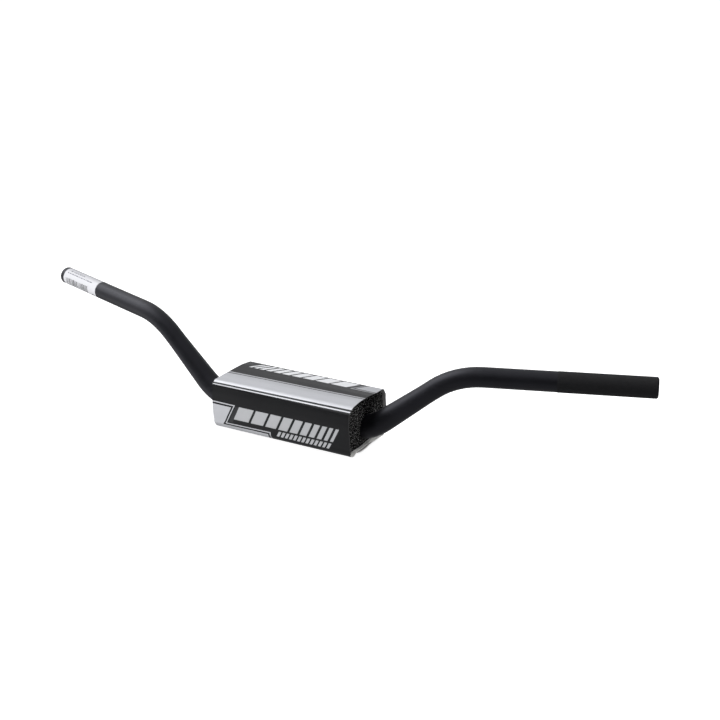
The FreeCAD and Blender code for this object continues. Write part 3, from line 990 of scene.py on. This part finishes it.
def make_knurl():
    """Two crossing sets of fine grooves, which leave rows of small pyramids."""
    grip = Grip("left_grip")
    around = 2 * round(math.pi * grip.radius / KNURL_CELL)
    along = 2 * round((KNURL_LENGTH - TIP_CHAMFER) / KNURL_CELL / 2)
    points, faces = [], []

    def add_ring(i, heights):
        inset = TIP_CHAMFER + (KNURL_LENGTH - TIP_CHAMFER) * i / along
        for j, height in enumerate(heights):
            points.append(grip.at(inset, 2 * math.pi * j / around, grip.radius + height))

    for i in range(along + 1):
        peaks = [(i + j) % 2 and 0 < i < along for j in range(around)]
        add_ring(i, [KNURL_DEPTH if peak else KNURL_VALLEY for peak in peaks])
    for i in range(along):
        for j in range(around):
            a, b = i * around + j, i * around + (j + 1) % around
            c, d = b + around, a + around
            if (i + j) % 2:
                faces += [[a, b, d], [b, c, d]]
            else:
                faces += [[a, b, c], [a, c, d]]
    inner = len(points)
    for i in (0, along):
        add_ring(i, [-KNURL_SUNK] * around)
    for j in range(around):
        after = (j + 1) % around
        faces.append([j, inner + j, inner + after, after])
        base, far = along * around, inner + around
        faces.append([base + after, far + after, far + j, base + j])
        faces.append([inner + j, far + j, far + after, inner + after])
    mesh = new_mesh("grip_knurl", points, faces)
    turn_outwards(mesh)
    knurl = add_object("grip_knurl", mesh, knurled())
    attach(knurl, "handlebar")


# The label: places along it are millimetres from the bar's end, and round it degrees from the top.
LABEL_START = -137.0
LABEL_MARGIN = 8.5
LABEL_LENGTH = 76.0
LABEL_WIDTH = 31.75
LABEL_THICK = 0.12 * MM
LABEL_PROUD = 0.13 * MM
PAPER, DARK, FAINT = range(3)
CODE_FROM, CODE_TO = 14.0, 65.5
CODE_FOOT, CODE_TOP, CODE_UNEVEN = -126.0, -78.0, 2.5
DASH_ROWS = ((18.0, 51.0, -23.0), (14.0, 67.0, -43.0))
DASH_HEIGHT = 7.0
MARK = (75.0, 79.0, -128.0, -121.0)


def label_art():
    """Bars of a code, two faint rows of dashes and a small mark, as (slot, polygon)."""
    draw = random.Random(4)
    art = []
    at = CODE_FROM
    while at < CODE_TO:
        width = draw.choice([0.5, 0.5, 0.9, 1.3, 1.8])
        top = CODE_TOP + draw.uniform(-CODE_UNEVEN, CODE_UNEVEN)
        art.append((DARK, box(at, at + width, CODE_FOOT, top)))
        at += width + draw.choice([0.5, 0.7, 1.1, 1.6])
    for at, end, middle in DASH_ROWS:
        while at < end:
            width = draw.uniform(1.2, 5.5)
            art.append((FAINT, box(at, at + width, middle - DASH_HEIGHT / 2, middle + DASH_HEIGHT / 2)))
            at += width + draw.uniform(0.8, 1.8)
    return art + [(DARK, box(*MARK))]


def make_label():
    grip = Grip("right_grip")
    per_degree = math.pi / 180 * grip.radius

    def flat_place(along, angle):
        return ((along - LABEL_MARGIN) * MM, (angle - LABEL_START) * per_degree)

    def place(u, v, depth):
        angle = math.radians(LABEL_START) + v / grip.radius
        inset = LABEL_MARGIN * MM + u
        radius = grip.radius + LABEL_PROUD - depth
        around = np.outer(np.cos(angle), grip.up) + np.outer(np.sin(angle), grip.side)
        points = np.array(grip.end) - np.outer(inset, grip.out) + around * radius
        return to_pad(points)

    art = label_art()
    outline = box(0, LABEL_LENGTH * MM, 0, LABEL_WIDTH * MM)
    polygons = [[flat_place(*corner) for corner in polygon] for _, polygon in art]
    cut = flat_cut(outline, polygons, spacing=(2.5 * MM, 0.7 * MM))
    slots = [PAPER] + [slot for slot, _ in art]
    mesh = sheet_mesh("code_label", cut, place, LABEL_THICK, slots, PAPER)
    dark = ink("label_ink", (0.015, 0.015, 0.017), (0.03, 0.03, 0.033))
    faint = ink("label_faint_ink", (0.10, 0.10, 0.12), (0.18, 0.18, 0.21))
    label = add_object("code_label", mesh, paper(), dark, faint)
    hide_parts("barcode_label")
    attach(label, "handlebar")


# --- Tapes and stitches ---
TAPE_GROUND = 0.45 * MM
FIBRE_PITCH = 1.3 * MM
FIBRE_THICK = 0.10 * MM
SEAM_CLEAR = 1.0 * MM
SEAM_SINK = 0.18 * MM
PILE_BARE = 2 * MM
PILE_MARGIN = (1.2 * MM, 1.0 * MM)
STITCH = 2.4 * MM
STITCH_PITCH = 3.2 * MM
STITCH_STEPS = 10
STITCH_RISE = 0.10 * MM
STITCH_DIP = 0.42 * MM
THREAD_THICK = 0.46 * MM
TWIST_BULGE = 0.12
LOOP_PATH = [(-0.42, -0.05), (-0.36, 0.22), (-0.10, 0.40), (0.22, 0.36), (0.40, 0.16), (0.36, -0.05)]
HOOK_PATH = [(0.0, -0.05), (0.0, 0.22), (0.10, 0.38), (0.28, 0.41), (0.42, 0.30), (0.44, 0.20)]


def tape_place(level):
    """Places on a tape whose lower face is at a level, raised as the flaps are."""

    def place(u, y, depth):
        return np.stack([u, y, level + depth + bottom_lift(u, y)], axis=-1)

    return place


def fibre(path, thick, sides=4, twist=0.0):
    """A round or twisted strand along a path of 3-D points, as points and faces."""
    points = []
    bulge = TWIST_BULGE if twist else 0.0
    for index, point in enumerate(path):
        before, after = path[max(index - 1, 0)], path[min(index + 1, len(path) - 1)]
        along = (after - before).normalized()
        side = along.cross(Z_AXIS if abs(along.z) < 0.9 else X_AXIS).normalized()
        up = side.cross(along)
        for step in range(sides):
            angle = 2 * math.pi * step / sides
            radius = thick / 2 * (1 + bulge * math.cos(2 * angle + twist * index))
            points.append(point + side * radius * math.cos(angle) + up * radius * math.sin(angle))
    last = (len(path) - 1) * sides
    ends = [list(range(sides))[::-1], list(range(last, last + sides))]
    return points, ring_faces(len(path), sides) + ends


def strands(name, made, material, body):
    """One piece from many strands, whose points are in the pad's frame."""
    points, faces = [], []
    for strand_points, strand_faces in made:
        start = len(points)
        points += strand_points
        faces += [[index + start for index in face] for face in strand_faces]
    mesh = new_mesh(name, from_pad(points), faces)
    mesh.polygons.foreach_set("use_smooth", [True] * len(faces))
    turn_outwards(mesh)
    piece = add_object(name, mesh, material)
    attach(piece, body)
    return piece


def pile(path, low, high, level, side, seed):
    """A strand for each place of a tape, on the face at a level that looks up (side 1) or down (-1)."""
    draw = random.Random(seed)
    columns = int((high[0] - low[0] - PILE_BARE) / FIBRE_PITCH)
    rows = int((high[1] - low[1] - PILE_BARE) / FIBRE_PITCH)
    made = []
    for row in range(rows + 1):
        for column in range(columns):
            along = column + 0.5 * (row % 2) + draw.uniform(-0.12, 0.12)
            u = low[0] + PILE_MARGIN[0] + along * FIBRE_PITCH
            y = low[1] + PILE_MARGIN[1] + (row + draw.uniform(-0.10, 0.10)) * FIBRE_PITCH
            if min(abs(y - seam) for seam in SEAM_ROWS) < SEAM_CLEAR:
                continue
            turn = draw.uniform(-0.6, 0.6) + math.pi * (row % 2)
            z = level + bottom_lift(u, y)
            points = []
            for reach, height in path:
                x, across = reach * MM * math.cos(turn), reach * MM * math.sin(turn)
                points.append(Vector((u + x, y + across, z + side * height * MM)))
            made.append(fibre(points, FIBRE_THICK))
    return made


def stitches(level, side):
    """Both rows of stitches on a face at a level: each rises from the cloth and dips back into it."""
    count = int(2 * (PAD_HALF - FLAP_CORNER) / STITCH_PITCH)
    made = []
    for row in SEAM_ROWS:
        for index in range(count):
            middle = (index - (count - 1) / 2) * STITCH_PITCH
            points = []
            for step in range(STITCH_STEPS + 1):
                share = step / (STITCH_STEPS / 2) - 1
                u = middle + share * STITCH / 2
                height = STITCH_RISE - STITCH_DIP * share**4
                points.append(Vector((u, row, level + bottom_lift(u, row) + side * height)))
            made.append(fibre(points, THREAD_THICK, sides=8, twist=1.3))
    return made


def make_tape(name, node, body, low, high, faces_up, material):
    """The woven ground of a tape, sewn flat on its flap."""
    ground_low = low[2] if faces_up else high[2] - TAPE_GROUND
    outline = box(low[0], high[0], low[1], high[1])
    cut = flat_cut(outline, [], spacing=(2.0 * MM, 1.0 * MM))
    mesh = sheet_mesh(name, cut, tape_place(ground_low), TAPE_GROUND, [0], 0)
    ground = add_object(name, mesh, material)
    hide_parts(node)
    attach(ground, body)


def make_tapes():
    hook = tape("hook_tape_nylon", (0.010, 0.010, 0.011), (0.045, 0.045, 0.048), 1900)
    loop = tape("loop_tape_nylon", (0.014, 0.014, 0.015), (0.07, 0.07, 0.073), 1300)
    yarn = thread()
    on_loop, on_hook = LOOP_LOW[2] + TAPE_GROUND, HOOK_HIGH[2] - TAPE_GROUND
    loops = pile(LOOP_PATH, LOOP_LOW, LOOP_HIGH, on_loop, side=1, seed=11)
    loop_pile = strands("loop_pile", loops, loop, "closure")
    hooks = pile(HOOK_PATH, HOOK_LOW, HOOK_HIGH, on_hook, side=-1, seed=12)
    hook_rows = strands("hook_rows", hooks, hook, "inner_fold")
    sewn = stitches(BOTTOM + PUCKER_DEPTH, -1) + stitches(on_loop, 1)
    closure_stitches = strands("closure_stitches", sewn, yarn, "closure")
    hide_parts("loop_stitching")
    sewn = stitches(on_hook, -1) + stitches(HOOK_HIGH[2] + FABRIC - SEAM_SINK, 1)
    inner_stitches = strands("inner_flap_stitches", sewn, yarn, "inner_fold")
    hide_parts("hook_stitching")
    make_tape(
        "loop_tape_ground", "loop_tape", "closure", LOOP_LOW, LOOP_HIGH, True, loop,
    )
    make_tape(
        "hook_tape_ground", "hook_tape", "inner_fold", HOOK_LOW, HOOK_HIGH, False, hook,
    )


def finish_tube():
    """The tube stays as its CAD node, with the anodised finish."""
    TUBE.data.materials.clear()
    TUBE.data.materials.append(anodised())


# --- Floor, backdrop and light ---
FLOOR_GAP = 0.3 * MM
FLOOR_REACH = 12.0


def make_stage():
    low = CAD_BOUNDS[0][2] - FLOOR_GAP
    corners = [(x * FLOOR_REACH, y * FLOOR_REACH, low) for x, y in ((-1, -1), (1, -1), (1, 1), (-1, 1))]
    mesh = new_mesh("floor", corners, [[0, 1, 2, 3]])
    s = Shader("pale_floor")
    s.surface(Base_Color=(0.62, 0.62, 0.62, 1), Roughness=0.9, Specular_IOR_Level=0.1)
    floor = add_object("floor", mesh, s.surface(Emission_Color=(1, 1, 1, 1), Emission_Strength=0.85))
    floor.visible_glossy = False
    floor.visible_diffuse = False


def add_light(name, place, size, power):
    """A softbox that faces the object and isn't mirrored by it."""
    data = bpy.data.lights.new(name, "AREA")
    data.shape = "RECTANGLE"
    data.size, data.size_y = size
    data.energy = power
    lamp = bpy.data.objects.new(name, data)
    lamp.location = place
    lamp.rotation_euler = (-Vector(place)).to_track_quat("-Z", "Y").to_euler()
    lamp.visible_glossy = False
    bpy.context.scene.collection.objects.link(lamp)


# The room, as soft patches of light: (direction, full within, gone beyond, strength), in degrees.
ROOM = [
    ((-0.77, -0.16, 0.61), 8, 36, 2.35),
    ((-0.35, -0.30, 0.88), 8, 42, 0.18),
    ((-0.66, 0.30, 0.69), 8, 32, 0.75),
    ((0.30, -0.10, 0.95), 25, 60, 0.36),
    ((-0.35, 0.90, 0.32), 25, 62, 0.36),
    ((-0.45, 0.83, -0.25), 12, 36, 0.50),
    ((-0.90, -0.36, -0.24), 12, 42, 0.66),
    ((0.0, -0.20, -1.0), 40, 80, 0.25),
]
ROOM_DIM = 0.04
BACKDROP = 1.1


def make_world():
    """A white backdrop. The room that lights and is mirrored by the object is dim, with soft patches."""
    world = bpy.data.worlds.new("studio")
    bpy.context.scene.world = world
    world.use_nodes = True
    tree = world.node_tree
    direction = tree.nodes.new("ShaderNodeTexCoord").outputs["Generated"]
    total = ROOM_DIM
    for aim, full, gone, strength in ROOM:
        dot = math_node(tree, "DOT_PRODUCT", direction, Vector(aim).normalized(), "ShaderNodeVectorMath")
        near, far = math.cos(math.radians(full)), math.cos(math.radians(gone))
        patch = add_node(tree, "ShaderNodeMapRange", Value=dot, From_Min=far, From_Max=near, To_Max=strength)
        patch.interpolation_type = "SMOOTHSTEP"
        total = math_node(tree, "ADD", patch.outputs["Result"], total)
    camera_ray = tree.nodes.new("ShaderNodeLightPath").outputs["Is Camera Ray"]
    seen = math_node(tree, "MULTIPLY", camera_ray, BACKDROP)
    background = tree.nodes["Background"]
    feed(tree, background.inputs["Strength"], math_node(tree, "MAXIMUM", total, seen))
    background.inputs["Color"].default_value = (0.97, 0.98, 1.0, 1)


def make_light():
    make_world()
    add_light("front_softbox", place=(-0.98, -1.66, 0.30), size=(1.3, 0.6), power=49)
    add_light("right_softbox", place=(2.0, 0.1, 0.5), size=(1.0, 0.8), power=16)
    add_light("top_softbox", place=(0.7, 0.7, 1.7), size=(1.2, 0.9), power=10)
    bpy.context.scene.view_settings.view_transform = "Standard"


make_camera()
finish_tube()
make_wrap()
make_flaps()
make_tapes()
make_foam()
make_knurl()
make_label()
make_stage()
make_light()
